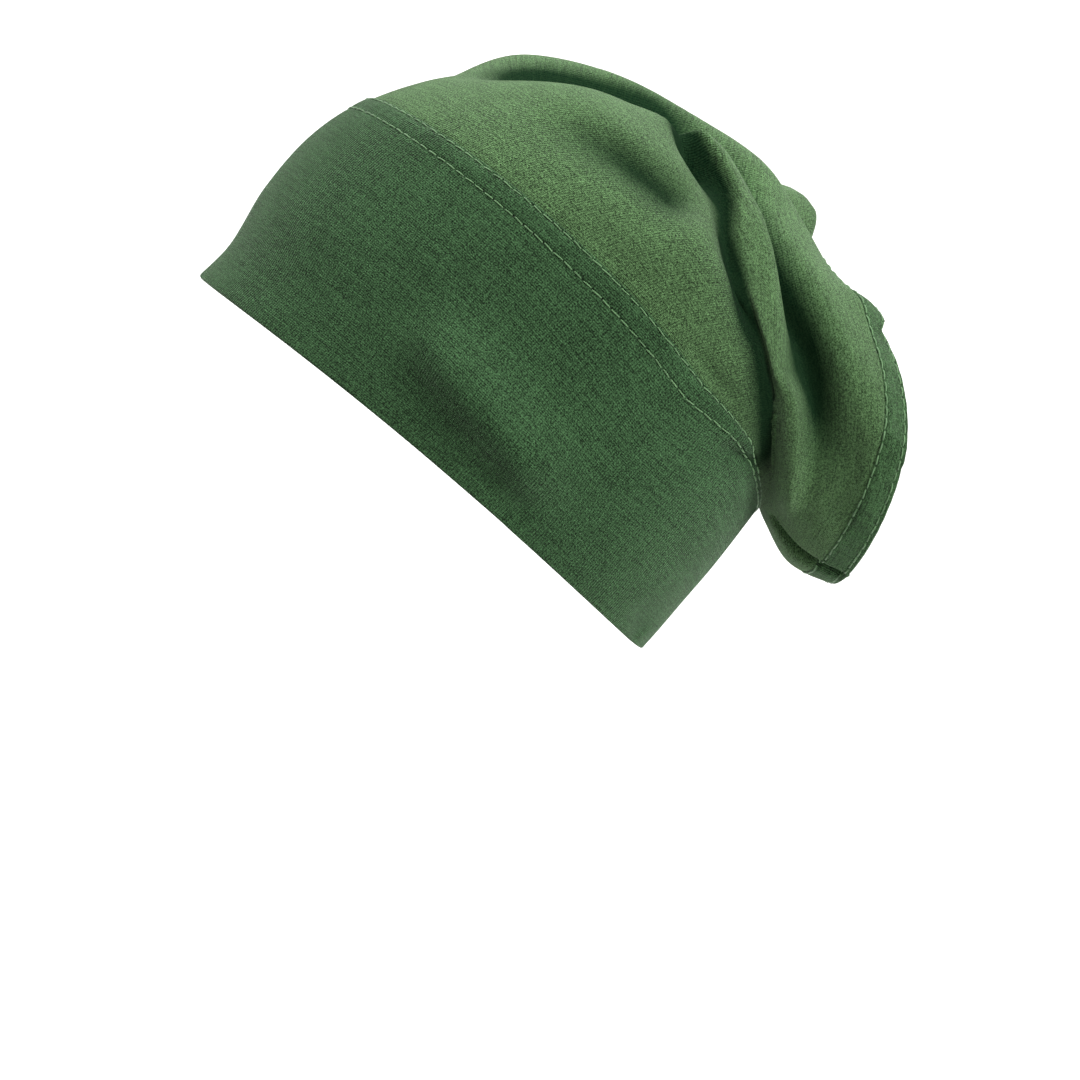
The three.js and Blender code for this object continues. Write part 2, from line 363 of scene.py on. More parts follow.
class Tube:
    """The cap's cloth as one folded tube. Places are given as (turn, along)."""

    def __init__(self, sizes):
        self.sizes = sizes
        self.folds = [(self.fold_line(fold.path), fold) for fold in (*FOLDS.values(), *WRINKLES.values())]
        self.seam = sizes.band / sizes.tube
        self.measure_round()

    def seam_at(self, turn):
        """Where the seam lies. At the nape the gathered crown draws it back."""
        draw_start, draw_run = 0.32, 0.09
        turn = np.where(np.asarray(turn) > 0.5, np.asarray(turn) - 1, turn)
        drawn = ease((np.abs(turn) - draw_start) / draw_run)
        return self.seam + self.sizes.nape_draw / self.sizes.tube * drawn

    def smooth(self, turn, along):
        """The tube before its folds."""
        s = self.sizes
        turn, along = np.broadcast_arrays(np.asarray(turn, float), np.asarray(along, float))
        angle = turn * 2 * np.pi
        full = column("full", along)
        rounded = lambda v: np.sign(v) * np.abs(v) ** (2 / full)
        even_drop = np.clip((1 - rounded(np.cos(angle))) / 2, 0, 1)
        drop = even_drop ** (np.log(column("widest", along)) / math.log(0.5))
        top_y, under_y = column("top_y", along) * s.length, column("under_y", along) * s.length
        top_z, under_z = column("top_z", along) * s.height, column("under_z", along) * s.height
        chord_y, chord_z = under_y - top_y, under_z - top_z
        chord = np.hypot(chord_y, chord_z)
        mid_bulge = 4 * drop * (1 - drop)
        low_bulge = drop**3 * (1 - drop) * 256 / 27
        bulge = (column("bow", along) * mid_bulge + column("low_bow", along) * low_bulge) * s.length
        x = rounded(np.sin(angle)) * column("half", along) * s.width
        y = top_y + chord_y * drop - chord_z / chord * bulge
        z = top_z + chord_z * drop + chord_y / chord * bulge + s.crown_rise
        return np.stack([x, y, z], -1)

    def fold_line(self, path):
        """A fold's smooth run, cut into short straight pieces."""
        path = np.array(path)
        slopes = np.gradient(path, axis=0)
        pieces = []
        for k in range(len(path) - 1):
            t = np.linspace(0, 1, 5)[:-1, None]
            t2, t3 = t * t, t * t * t
            start = (2 * t3 - 3 * t2 + 1) * path[k] + (t3 - 2 * t2 + t) * slopes[k]
            pieces.append(start + (3 * t2 - 2 * t3) * path[k + 1] + (t3 - t2) * slopes[k + 1])
        places = np.concatenate([*pieces, path[-1:]])
        return self.smooth(places[:, 0], places[:, 1])

    def reach(self, line, fold, point, normal):
        """One fold's strength and fade at each point, its run's direction there, and how far to the left of
        the run the point lies."""
        nearest = np.full(len(point), np.inf)
        share = np.zeros(len(point))
        heading, offset = np.zeros(point.shape), np.zeros(point.shape)
        count = len(line) - 1
        for k in range(count):
            step = line[k + 1] - line[k]
            t = np.clip(((point - line[k]) @ step) / (step @ step), 0, 1)
            away = point - line[k] - t[:, None] * step
            distance = np.linalg.norm(away, axis=1)
            closer = distance < nearest
            nearest = np.where(closer, distance, nearest)
            share = np.where(closer, (k + t) / count, share)
            offset[closer] = away[closer]
            heading[closer] = step / np.linalg.norm(step)
        leftward = (offset * np.cross(normal, heading)).sum(axis=1)
        lean = np.clip(leftward / np.maximum(nearest, 1e-9), -1, 1)
        width = (fold.right + (fold.left - fold.right) * (1 + lean) / 2) * self.sizes.fold_width
        fade = ease(share / fold.fade_in) * ease((1 - share) / fold.fade_out)
        return fade * np.exp(-((nearest / width) ** 2)), fade, heading, leftward

    def near(self, line, fold, point):
        """Which points lie near enough to a fold for it to move them."""
        widths_out = 2.6
        middle = (line.max(axis=0) + line.min(axis=0)) / 2
        width = max(fold.left, fold.right) * self.sizes.fold_width
        far = np.linalg.norm(line - middle, axis=1).max() + widths_out * width
        return np.linalg.norm(point - middle, axis=1) < far

    def flat_places(self, turn, along):
        """The shape of the places, with their points on the smooth tube and the directions out of it."""
        turn, along = np.broadcast_arrays(np.asarray(turn, float), np.asarray(along, float))
        flat_turn, flat_along = np.where(turn > 0.5, turn - 1, turn).ravel(), along.ravel()
        point = self.smooth(flat_turn, flat_along)
        return turn.shape, point, outward(self.smooth, flat_turn, flat_along)

    def folded(self, turn, along):
        """The tube with its folds: the crown's outer face."""
        shape, point, normal = self.flat_places(turn, along)
        moved = point.copy()
        for line, fold in self.folds:
            at = self.near(line, fold, point)
            strength, fade, heading, leftward = self.reach(line, fold, point[at], normal[at])
            moved[at] += normal[at] * (fold.height * self.sizes.fold_depth * strength)[:, None]
            if fold.pull:
                lip = fold.left * self.sizes.fold_width
                beside = np.exp(-(((leftward - 2 * lip) / (1.5 * lip)) ** 2))
                over = fold.pull * self.sizes.fold_depth * fade * beside
                moved[at] += np.cross(heading, normal[at]) * over[:, None]
        return moved.reshape(*shape, 3)

    def painted_fold_shade_at(self, turn, along):
        """How much shade the folds paint into the cloth's colour at each place, from 0 to 1."""
        shape, point, normal = self.flat_places(turn, along)
        depth = np.zeros(len(point))
        for line, fold in self.folds:
            if fold.shade:
                at = self.near(line, fold, point)
                depth[at] += fold.shade * self.reach(line, fold, point[at], normal[at])[0]
        return np.clip(depth, 0, 1).reshape(shape)

    def measure_round(self):
        """Even cloth spacing round the seam, as a table from share of girth to turn."""
        turns = np.linspace(0, 1, 1441)
        line = self.smooth(turns, self.seam)
        gone = np.concatenate([[0], np.cumsum(np.linalg.norm(np.diff(line, axis=0), axis=1))])
        self.round_shares, self.round_turns = gone / gone[-1], turns
        self.seam_girth = gone[-1]

    def turn_at(self, share):
        """The turn at a share of the way round."""
        return np.interp(share, self.round_shares, self.round_turns)

    def stretch(self, turn, along):
        """Metres of cloth for a whole step along the tube."""
        gap = self.smooth(turn, along + NUDGE) - self.smooth(turn, along - NUDGE)
        return np.linalg.norm(gap, axis=-1) / (2 * NUDGE)


def graded(length, count, marks):
    """Places from 0 to a length, closer together round each mark (place, reach, weight)."""
    fine = np.linspace(0, length, 4000)
    density = np.ones_like(fine)
    for place, reach, weight in marks:
        density += weight * np.exp(-(((fine - place) / reach) ** 2))
    share = np.concatenate([[0], np.cumsum((density[1:] + density[:-1]) / 2)])
    return np.interp(np.linspace(0, 1, count), share / share[-1], fine)


def ripple(share, seed, waves, low, high):
    """An even-handed random wave round the tube, between about -1 and 1."""
    rng = np.random.default_rng(seed)
    turns = rng.integers(low, high, waves)
    phases = rng.uniform(0, 2 * math.pi, waves)
    angle = np.asarray(share)[..., None] * 2 * math.pi * turns + phases
    return np.sin(angle).sum(-1) / math.sqrt(waves)


def sweep_wall(name, tube, shares, rings, shade):
    """A closed wall swept round the tube. rings is a list of (alongs, depths, runs), each one number or one
    for each column, in order round the wall's section. A run is the place along the cloth, for its weave."""
    turn = tube.turn_at(shares)
    stacked = [np.stack([np.broadcast_to(ring[k], turn.shape) for ring in rings]) for k in range(3)]
    alongs, depths, runs = stacked
    turns = np.broadcast_to(turn, alongs.shape)
    places = tube.folded(turns, alongs) + outward(tube.folded, turns, alongs) * depths[..., None]
    rows, cols = alongs.shape
    index = np.arange(rows * cols).reshape(rows, cols)
    below = np.roll(index, -1, axis=0)
    faces = np.stack([index, np.roll(index, -1, axis=1), np.roll(below, -1, axis=1), below], -1)
    mesh = bpy.data.meshes.new(name)
    mesh.from_pydata(places.reshape(-1, 3).tolist(), [], faces.reshape(-1, 4).tolist())
    across = shares * tube.seam_girth
    next_across = np.append(across[1:], tube.seam_girth)
    corner_u = np.stack([across, next_across, next_across, across], -1)
    corner_u = np.broadcast_to(corner_u, (rows, cols, 4))
    low = np.roll(runs, -1, axis=0)
    corner_v = np.stack([runs, np.roll(runs, -1, axis=1), np.roll(low, -1, axis=1), low], -1)
    weave = mesh.uv_layers.new(name="weave")
    weave.data.foreach_set("uv", np.stack([corner_u, corner_v], -1).reshape(-1))
    # Painted shade from the folds, stored on each point for the material to darken the cloth's colour
    painted_fold_shade = mesh.attributes.new("painted_fold_shade", "FLOAT", "POINT")
    painted_fold_shade.data.foreach_set("value", tube.painted_fold_shade_at(turns, alongs).reshape(-1))
    mesh.polygons.foreach_set("use_smooth", [True] * len(mesh.polygons))
    mesh.materials.append(shade)
    mesh.validate()
    mesh.update()
    piece = bpy.data.objects.new(name, mesh)
    bpy.context.collection.objects.link(piece)
    return piece


def link(tree, source, output, target, socket):
    tree.links.new(source.outputs[output], target.inputs[socket])


def maths(tree, operation, *values, clamp=False):
    """A math node whose inputs are numbers or outputs of other nodes."""
    node = tree.nodes.new("ShaderNodeMath")
    node.operation = operation
    node.use_clamp = clamp
    for socket, value in zip(node.inputs, values):
        if isinstance(value, (int, float)):
            socket.default_value = value
        else:
            tree.links.new(value, socket)
    return node.outputs[0]


def noise(tree, vector, scale, detail, stretch=(1, 1, 1)):
    """Noise on a vector, stretched along its axes."""
    mapping = tree.nodes.new("ShaderNodeMapping")
    mapping.inputs["Scale"].default_value = stretch
    tree.links.new(vector, mapping.inputs["Vector"])
    node = tree.nodes.new("ShaderNodeTexNoise")
    node.inputs["Scale"].default_value = scale
    node.inputs["Detail"].default_value = detail
    tree.links.new(mapping.outputs[0], node.inputs["Vector"])
    return node.outputs["Fac"]


def blend_colours(tree, factor, first, second):
    """Mixes two colours, each a value or an output."""
    node = tree.nodes.new("ShaderNodeMix")
    node.data_type = "RGBA"
    for label, value in (("Factor", factor), ("A", first), ("B", second)):
        socket = node.inputs[label]
        if isinstance(value, bpy.types.NodeSocket):
            tree.links.new(value, socket)
        elif isinstance(value, (int, float)):
            socket.default_value = value
        else:
            socket.default_value = (*value, 1)
    return node.outputs["Result"]


def needle_marks(tree, across, run, row, stitches):
    """1 at each needle hole of a stitch row, 0 away from it."""
    phase = maths(tree, "FRACT", maths(tree, "DIVIDE", across, stitches.pitch))
    off_hole = maths(tree, "MULTIPLY", maths(tree, "SUBTRACT", phase, 0.5), stitches.pitch)
    off_row = maths(tree, "SUBTRACT", run, row)
    squares = maths(tree, "POWER", off_hole, 2.0), maths(tree, "POWER", off_row, 2.0)
    far = maths(tree, "SQRT", maths(tree, "ADD", *squares))
    hole = stitches.thread * 1.1
    return maths(tree, "SUBTRACT", 1.0, maths(tree, "DIVIDE", far, hole), clamp=True)


def jersey(name, colour, rows, stitches):
    """Knitted jersey: ribs along the tube, courses across, slubs along the courses, and needle holes, with
    painted shade darkening the colour and dimming the gloss and sheen in the folds.
    """
    bump_strength, bump_distance, gloss, sheen = 0.8, 0.0004, 0.10, 0.22
    shade = bpy.data.materials.new(name)
    shade.use_nodes = True
    tree = shade.node_tree
    surface = tree.nodes["Principled BSDF"]
    weave = tree.nodes.new("ShaderNodeUVMap")
    weave.uv_map = "weave"
    parts = tree.nodes.new("ShaderNodeSeparateXYZ")
    link(tree, weave, "UV", parts, "Vector")
    across, run = parts.outputs["X"], parts.outputs["Y"]
    spot = weave.outputs["UV"]
    drift = noise(tree, spot, 60.0, 2.0)
    wander = maths(tree, "MULTIPLY", maths(tree, "SUBTRACT", drift, 0.5), 5.0)
    wale = maths(tree, "SINE", maths(tree, "ADD", maths(tree, "MULTIPLY", across, 2 * math.pi / RIB), wander))
    course_step = RIB * 0.8
    courses = maths(tree, "MULTIPLY", run, 2 * math.pi / course_step)
    course = maths(tree, "SINE", maths(tree, "ADD", courses, wander))
    loops = maths(tree, "ADD", maths(tree, "MULTIPLY", wale, 0.6), maths(tree, "MULTIPLY", course, 0.3))
    slub = noise(tree, spot, 1.0, 3.0, (60.0, 1100.0, 1.0))
    fuzz = noise(tree, spot, 1.0, 1.0, (1500.0, 2100.0, 1.0))
    dust = noise(tree, tree.nodes.new("ShaderNodeTexCoord").outputs["Object"], 1900.0, 1.0)
    streak = noise(tree, spot, 1.0, 2.0, (900.0, 60.0, 1.0))
    cloud = noise(tree, spot, 30.0, 3.0)
    grain = maths(tree, "MULTIPLY_ADD", loops, 0.18, 0.42)
    for speckle, strength in ((fuzz, 1.0), (dust, 2.0), (slub, 0.9), (streak, 0.40), (cloud, 0.25)):
        off_middle = maths(tree, "SUBTRACT", speckle, 0.5)
        grain = maths(tree, "ADD", grain, maths(tree, "MULTIPLY", off_middle, strength))
    grain = maths(tree, "MINIMUM", maths(tree, "MAXIMUM", grain, 0.0), 1.0)
    dark = tuple(c * 0.30 for c in colour)
    light = tuple(min(c * 2.1 + 0.004, 1) for c in colour)
    tone = blend_colours(tree, grain, dark, light)
    holes = 0.0
    for row in rows:
        holes = maths(tree, "MAXIMUM", needle_marks(tree, across, run, row, stitches), holes)
    if rows:
        tone = blend_colours(tree, maths(tree, "MULTIPLY", holes, 0.8), tone, tuple(c * 0.12 for c in colour))
    # Painted shade: the folds' stored shade darkens the cloth's colour towards a deep blue-green in creases
    # and on shaded slopes
    painted_fold_shade = tree.nodes.new("ShaderNodeAttribute")
    painted_fold_shade.attribute_name = "painted_fold_shade"
    inside = maths(tree, "MULTIPLY", maths(tree, "POWER", painted_fold_shade.outputs["Fac"], 1.2), 0.92)
    fold_shade_colour = tuple(c * share for c, share in zip(colour, (0.04, 0.12, 0.13)))
    tone = blend_colours(tree, inside, tone, fold_shade_colour)
    tree.links.new(tone, surface.inputs["Base Color"])
    rough = maths(tree, "MULTIPLY_ADD", fuzz, 0.25, 0.72, clamp=True)
    tree.links.new(rough, surface.inputs["Roughness"])
    height = maths(tree, "MULTIPLY", loops, 0.5)
    height = maths(tree, "ADD", height, maths(tree, "MULTIPLY", fuzz, 1.6))
    height = maths(tree, "ADD", height, maths(tree, "MULTIPLY", slub, 0.6))
    if rows:
        height = maths(tree, "SUBTRACT", height, maths(tree, "MULTIPLY", holes, 3.0))
    bump = tree.nodes.new("ShaderNodeBump")
    bump.inputs["Strength"].default_value = bump_strength
    bump.inputs["Distance"].default_value = bump_distance
    tree.links.new(height, bump.inputs["Height"])
    link(tree, bump, "Normal", surface, "Normal")
    # Painted shade also takes gloss and sheen away where the folds' shade is painted
    unshaded_share = maths(tree, "SUBTRACT", 1.0, inside)
    tree.links.new(maths(tree, "MULTIPLY", unshaded_share, gloss), surface.inputs["Specular IOR Level"])
    tree.links.new(maths(tree, "MULTIPLY", unshaded_share, sheen), surface.inputs["Sheen Weight"])
    surface.inputs["Sheen Roughness"].default_value = 0.40
    surface.inputs["Sheen Tint"].default_value = (0.75, 0.95, 0.70, 1)
    shade.diffuse_color = (*colour, 1)
    return shade


def thread_material(colour):
    """Spun sewing thread, with its twist and a little sheen."""
    shade = bpy.data.materials.new("green_thread")
    shade.use_nodes = True
    tree = shade.node_tree
    surface = tree.nodes["Principled BSDF"]
    spot = tree.nodes.new("ShaderNodeTexCoord").outputs["Object"]
    grain = noise(tree, spot, 2400.0, 2.0)
    patch = noise(tree, spot, 160.0, 1.0)
    mixed = maths(tree, "MULTIPLY_ADD", maths(tree, "SUBTRACT", patch, 0.5), 0.9, grain, clamp=True)
    tone = blend_colours(tree, mixed, tuple(c * 0.55 for c in colour), tuple(c * 1.35 for c in colour))
    tree.links.new(tone, surface.inputs["Base Color"])
    bump = tree.nodes.new("ShaderNodeBump")
    bump.inputs["Strength"].default_value = 0.5
    bump.inputs["Distance"].default_value = 0.00012
    tree.links.new(grain, bump.inputs["Height"])
    link(tree, bump, "Normal", surface, "Normal")
    rough = maths(tree, "MULTIPLY_ADD", grain, 0.2, 0.5)
    tree.links.new(rough, surface.inputs["Roughness"])
    surface.inputs["Sheen Weight"].default_value = 0.2
    return shade


def stitch_tree():
    """Geometry Nodes: one bowed, sunken stitch on each point, laid along the row."""
    tree = bpy.data.node_groups.new("Stitches", "GeometryNodeTree")
    face = tree.interface
    face.new_socket("Geometry", in_out="INPUT", socket_type="NodeSocketGeometry")
    for label in ("Stitch Length", "Thread Thickness", "Sink", "Bow"):
        face.new_socket(label, in_out="INPUT", socket_type="NodeSocketFloat")
    face.new_socket("Seed", in_out="INPUT", socket_type="NodeSocketInt")
    face.new_socket("Thread", in_out="INPUT", socket_type="NodeSocketMaterial")
    face.new_socket("Geometry", in_out="OUTPUT", socket_type="NodeSocketGeometry")
    curve_steps, thread_sides, most_slant = 7, 7, 0.13
    smallest, largest = (0.86, 0.85, 0.85), (1.06, 1.12, 1.12)
    new = tree.nodes.new
    inputs, outputs = new("NodeGroupInput"), new("NodeGroupOutput")

    def calc(operation, first, second):
        node = new("ShaderNodeMath")
        node.operation = operation
        for socket, value in zip(node.inputs, (first, second)):
            if isinstance(value, (int, float)):
                socket.default_value = value
            else:
                tree.links.new(value, socket)
        return node.outputs[0]

    def vector(x, z):
        node = new("ShaderNodeCombineXYZ")
        tree.links.new(x, node.inputs["X"])
        tree.links.new(z, node.inputs["Z"])
        return node.outputs[0]

    half = calc("MULTIPLY", inputs.outputs["Stitch Length"], 0.5)
    down = calc("MULTIPLY", inputs.outputs["Sink"], -1.0)
    nothing = calc("MULTIPLY", half, 0.0)
    bend = new("GeometryNodeCurveQuadraticBezier")
    bend.inputs["Resolution"].default_value = curve_steps
    tree.links.new(vector(calc("MULTIPLY", half, -1.0), down), bend.inputs["Start"])
    tree.links.new(vector(nothing, inputs.outputs["Bow"]), bend.inputs["Middle"])
    tree.links.new(vector(half, down), bend.inputs["End"])
    ring = new("GeometryNodeCurvePrimitiveCircle")
    ring.inputs["Resolution"].default_value = thread_sides
    tree.links.new(calc("MULTIPLY", inputs.outputs["Thread Thickness"], 0.5), ring.inputs["Radius"])
    thread = new("GeometryNodeCurveToMesh")
    thread.inputs["Fill Caps"].default_value = True
    link(tree, bend, "Curve", thread, "Curve")
    link(tree, ring, "Curve", thread, "Profile Curve")

    def named(name):
        node = new("GeometryNodeInputNamedAttribute")
        node.data_type = "FLOAT_VECTOR"
        node.inputs["Name"].default_value = name
        return node.outputs["Attribute"]

    aim = new("FunctionNodeAlignRotationToVector")
    aim.axis = "X"
    tree.links.new(named("heading"), aim.inputs["Vector"])
    stand = new("FunctionNodeAlignRotationToVector")
    stand.axis = "Z"
    stand.pivot_axis = "X"
    link(tree, aim, "Rotation", stand, "Rotation")
    tree.links.new(named("facing"), stand.inputs["Vector"])
    slant = new("FunctionNodeRandomValue")
    slant.data_type = "FLOAT"
    slant.inputs[2].default_value = -most_slant
    slant.inputs[3].default_value = most_slant
    tree.links.new(inputs.outputs["Seed"], slant.inputs["Seed"])
    tilt = new("FunctionNodeAxisAngleToRotation")
    tilt.inputs["Axis"].default_value = (0, 0, 1)
    tree.links.new(slant.outputs[1], tilt.inputs["Angle"])
    turned = new("FunctionNodeRotateRotation")
    turned.rotation_space = "LOCAL"
    link(tree, stand, "Rotation", turned, "Rotation")
    link(tree, tilt, "Rotation", turned, "Rotate By")
    size = new("FunctionNodeRandomValue")
    size.data_type = "FLOAT_VECTOR"
    size.inputs[0].default_value = smallest
    size.inputs[1].default_value = largest
    tree.links.new(inputs.outputs["Seed"], size.inputs["Seed"])
    place = new("GeometryNodeInstanceOnPoints")
    link(tree, inputs, "Geometry", place, "Points")
    link(tree, thread, "Mesh", place, "Instance")
    link(tree, turned, "Rotation", place, "Rotation")
    link(tree, size, "Value", place, "Scale")
    real = new("GeometryNodeRealizeInstances")
    link(tree, place, "Instances", real, "Geometry")
    smooth = new("GeometryNodeSetShadeSmooth")
    link(tree, real, "Geometry", smooth, "Geometry")
    paint = new("GeometryNodeSetMaterial")
    link(tree, smooth, "Geometry", paint, "Geometry")
    link(tree, inputs, "Thread", paint, "Material")
    link(tree, paint, "Geometry", outputs, "Geometry")
    return tree


def stitch_rows(name, tube, turns, rows, over, stitches, shade, seed):
    """Sews rows of stitches at a height over the folded tube. A row gives a place along it for each turn."""
    places, headings, facings = [], [], []
    for alongs in rows:
        facing = outward(tube.folded, turns, alongs)
        line = tube.folded(turns, alongs) + facing * over
        gone = np.concatenate([[0], np.cumsum(np.linalg.norm(np.diff(line, axis=0), axis=1))])
        middles = (np.arange(int(round(gone[-1] / stitches.pitch))) + 0.5) * stitches.pitch
        at = lambda table, spots: np.stack([np.interp(spots, gone, table[:, k]) for k in range(3)], -1)
        heading = at(line, middles + stitches.length / 3) - at(line, middles - stitches.length / 3)
        places.append(at(line, middles))
        headings.append(heading / np.linalg.norm(heading, axis=-1, keepdims=True))
        facings.append(at(facing, middles))
    mesh = bpy.data.meshes.new(name)
    mesh.from_pydata(np.concatenate(places).tolist(), [], [])
    for label, values in (("heading", headings), ("facing", facings)):
        store = mesh.attributes.new(label, "FLOAT_VECTOR", "POINT")
        store.data.foreach_set("vector", np.concatenate(values).reshape(-1))
    piece = bpy.data.objects.new(name, mesh)
    bpy.context.collection.objects.link(piece)
    tree = stitch_tree()
    sew = piece.modifiers.new("Sew", "NODES")
    sew.node_group = tree
    settings = {
        "Stitch Length": stitches.length,
        "Thread Thickness": stitches.thread,
        "Sink": stitches.thread * 0.7,
        "Bow": stitches.thread * 1.0,
        "Seed": seed,
        "Thread": shade,
    }
    for item in tree.interface.items_tree:
        if item.in_out == "INPUT" and item.name in settings:
            sew[item.identifier] = settings[item.name]
    settled = piece.evaluated_get(bpy.context.evaluated_depsgraph_get())
    sewn = bpy.data.meshes.new_from_object(settled)
    piece.modifiers.clear()
    piece.data = sewn
    return piece


def dress(piece, node=None):
    """Fixes a piece to the cap and hides the part of the model that it stands for."""
    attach(piece, "root")
    if node:
        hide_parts(node)


def round_shares(sizes):
    return np.arange(sizes.columns) / sizes.columns


def rounded_edge(distance, radius):
    """How far a rolled edge falls away, near the edge."""
    inside = np.clip(1 - np.asarray(distance) / radius, 0, 1)
    return radius * (1 - np.sqrt(1 - inside**2))


def groove(distance, row, stitches):
    """How far a stitch row draws the cloth in."""
    return stitches.groove * np.exp(-(((np.asarray(distance) - row) / (stitches.thread * 1.6)) ** 2))


class UNDERSCARF_OT_front_band(bpy.types.Operator):
    """Makes the doubled band with its folded front edge and sewn back edge"""

    bl_idname = "underscarf.front_band"
    bl_label = "Front band"

    def execute(self, context):
        scene = context.scene
        sizes, stitches, colours = scene.cap_sizes, scene.cap_stitches, scene.cap_colours
        tube = Tube(sizes)
        shares = round_shares(sizes)
        turn = tube.turn_at(shares)
        marks = [
            (stitches.edge_row, 0.0014, 3.0),
            (stitches.inner_row, 0.0018, 2.0),
            (0.0, 0.0010, 4.0),
            (sizes.band, 0.002, 5.0),
        ]
        outer_rings, inner_rings = 84, 46
        puff_height, seam_edge, pucker_height, under_face = 0.00022, 0.00045, 0.00010, -0.00012
        pucker_middle, pucker_reach = 0.005, 0.006
        seam = tube.seam_at(turn)
        pucker = ripple(shares, 11, 14, 24, 90)
        rings, edge = [], sizes.band_wall / 2
        for from_seam in graded(sizes.band, outer_rings, marks)[::-1]:
            from_face = sizes.band - from_seam
            puff = puff_height * ease(from_seam / 0.003)
            puff = puff * ease((stitches.inner_row + 0.002 - from_seam) / 0.004)
            depth = sizes.band_rise + puff
            depth = depth - rounded_edge(from_face, edge) - rounded_edge(from_seam, seam_edge)
            for row in (stitches.edge_row, stitches.inner_row):
                depth = depth - groove(from_seam, row, stitches)
            draw = pucker_height * math.exp(-abs(from_seam - pucker_middle) / pucker_reach)
            rings.append((seam * (1 - from_seam / sizes.band), depth + draw * pucker, -from_seam))
        for from_seam in (0.0, 0.0015, 0.003, sizes.lap):
            rings.append((seam * (1 - from_seam / sizes.band), under_face, -from_seam))
        inner = sizes.band_rise - sizes.band_wall
        steps = 1 - graded(1.0, inner_rings, [(0.0, 0.02, 4.0)])[::-1]
        for from_seam in sizes.lap + (sizes.band - sizes.lap) * steps:
            from_face = sizes.band - from_seam
            depth = inner + rounded_edge(from_face, edge) if from_face > 1e-6 else inner + edge
            rings.append((seam * (1 - from_seam / sizes.band), depth, -from_seam))
        rows = (-stitches.edge_row, -stitches.inner_row)
        shade = jersey("band_jersey", tuple(colours.band), rows, stitches)
        piece = sweep_wall("band_cloth", tube, shares, rings, shade)
        dress(piece, "front_band")
        return {"FINISHED"}


class UNDERSCARF_OT_crown(bpy.types.Operator):
    """Makes the single-layer crown with its folds, tucked under the band and the hem"""

    bl_idname = "underscarf.crown"
    bl_label = "Crown"

    def execute(self, context):
        scene = context.scene
        sizes, stitches, colours = scene.cap_sizes, scene.cap_stitches, scene.cap_colours
        tube = Tube(sizes)
        shares = round_shares(sizes)
        turn = tube.turn_at(shares)
        hem_start = 1 - sizes.hem / tube.stretch(turn, np.ones_like(turn))
        hem_stretch = tube.stretch(turn, hem_start)
        seam = tube.seam_at(turn)
        seam_stretch = tube.stretch(turn, seam)
        longest_lap, hem_lap = 0.03, 0.003
        band_drop, band_margin, hem_drop, hem_margin, drop_run = 0.00028, 0.0004, 0.00045, 0.0002, 0.0016
        first = seam - np.minimum(sizes.lap / seam_stretch, longest_lap)
        last = hem_start + hem_lap / hem_stretch
        marks = [(0.03, 0.02, 1.5), (0.57, 0.08, 2.0), (0.97, 0.02, 2.0)]
        steps = graded(1.0, 170, marks)
        rings = []
        for places, inward in ((steps, 0.0), (steps[::-3], sizes.crown_wall)):
            for share in places:
                along = first + (last - first) * share
                from_seam = (along - seam) * seam_stretch
                from_hem = (hem_start - along) * hem_stretch
                under_band = band_drop * (1 - ease((from_seam + band_margin) / drop_run))
                under_hem = hem_drop * (1 - ease((from_hem + hem_margin) / drop_run))
                rings.append((along, -under_band - under_hem - inward, (along - tube.seam) * sizes.tube))
        shade = jersey("crown_jersey", tuple(colours.crown), (), stitches)
        piece = sweep_wall("crown_cloth", tube, shares, rings, shade)
        dress(piece, "crown")
        return {"FINISHED"}


class UNDERSCARF_OT_back_hem(bpy.types.Operator):
    """Makes the turned hem round the tail's open end"""

    bl_idname = "underscarf.back_hem"
    bl_label = "Back hem"

    def execute(self, context):
        scene = context.scene
        sizes, stitches, colours = scene.cap_sizes, scene.cap_stitches, scene.cap_colours
        tube = Tube(sizes)
        shares = round_shares(sizes)
        turn = tube.turn_at(shares)
        hem_stretch = tube.stretch(turn, np.ones_like(turn))
        pucker = ripple(shares, 5, 14, 20, 80)
        edge = sizes.hem_wall / 2
        rise, top_edge, pucker_height, lap_face = 0.00018, 0.0003, 0.00012, -0.0004
        inner_depth, lap_end = sizes.hem - 0.0035, sizes.hem - 0.0012
        rows = (stitches.hem_edge_row, stitches.hem_inner_row)
        marks = [(0.0, 0.001, 5.0), *((row, 0.001, 3.0) for row in rows)]
        rings = []
        for from_edge in graded(sizes.hem, 34, marks)[::-1]:
            depth = rise - rounded_edge(from_edge, edge) - rounded_edge(sizes.hem - from_edge, top_edge)
            for row in rows:
                depth = depth - groove(from_edge, row, stitches)
            rings.append((1 - from_edge / hem_stretch, depth + pucker_height * pucker, -from_edge))
        inner = rise - sizes.hem_wall
        for from_edge in graded(inner_depth, 12, [(0.0, 0.001, 5.0)])[1:]:
            depth = inner + rounded_edge(from_edge, edge)
            rings.append((1 - from_edge / hem_stretch, depth, -from_edge))
        for from_edge in (inner_depth, lap_end):
            rings.append((1 - from_edge / hem_stretch, lap_face, -from_edge))
        shade = jersey("hem_jersey", tuple(colours.hem), [-row for row in rows], stitches)
        piece = sweep_wall("hem_cloth", tube, shares, rings, shade)
        dress(piece, "back_hem")
        return {"FINISHED"}


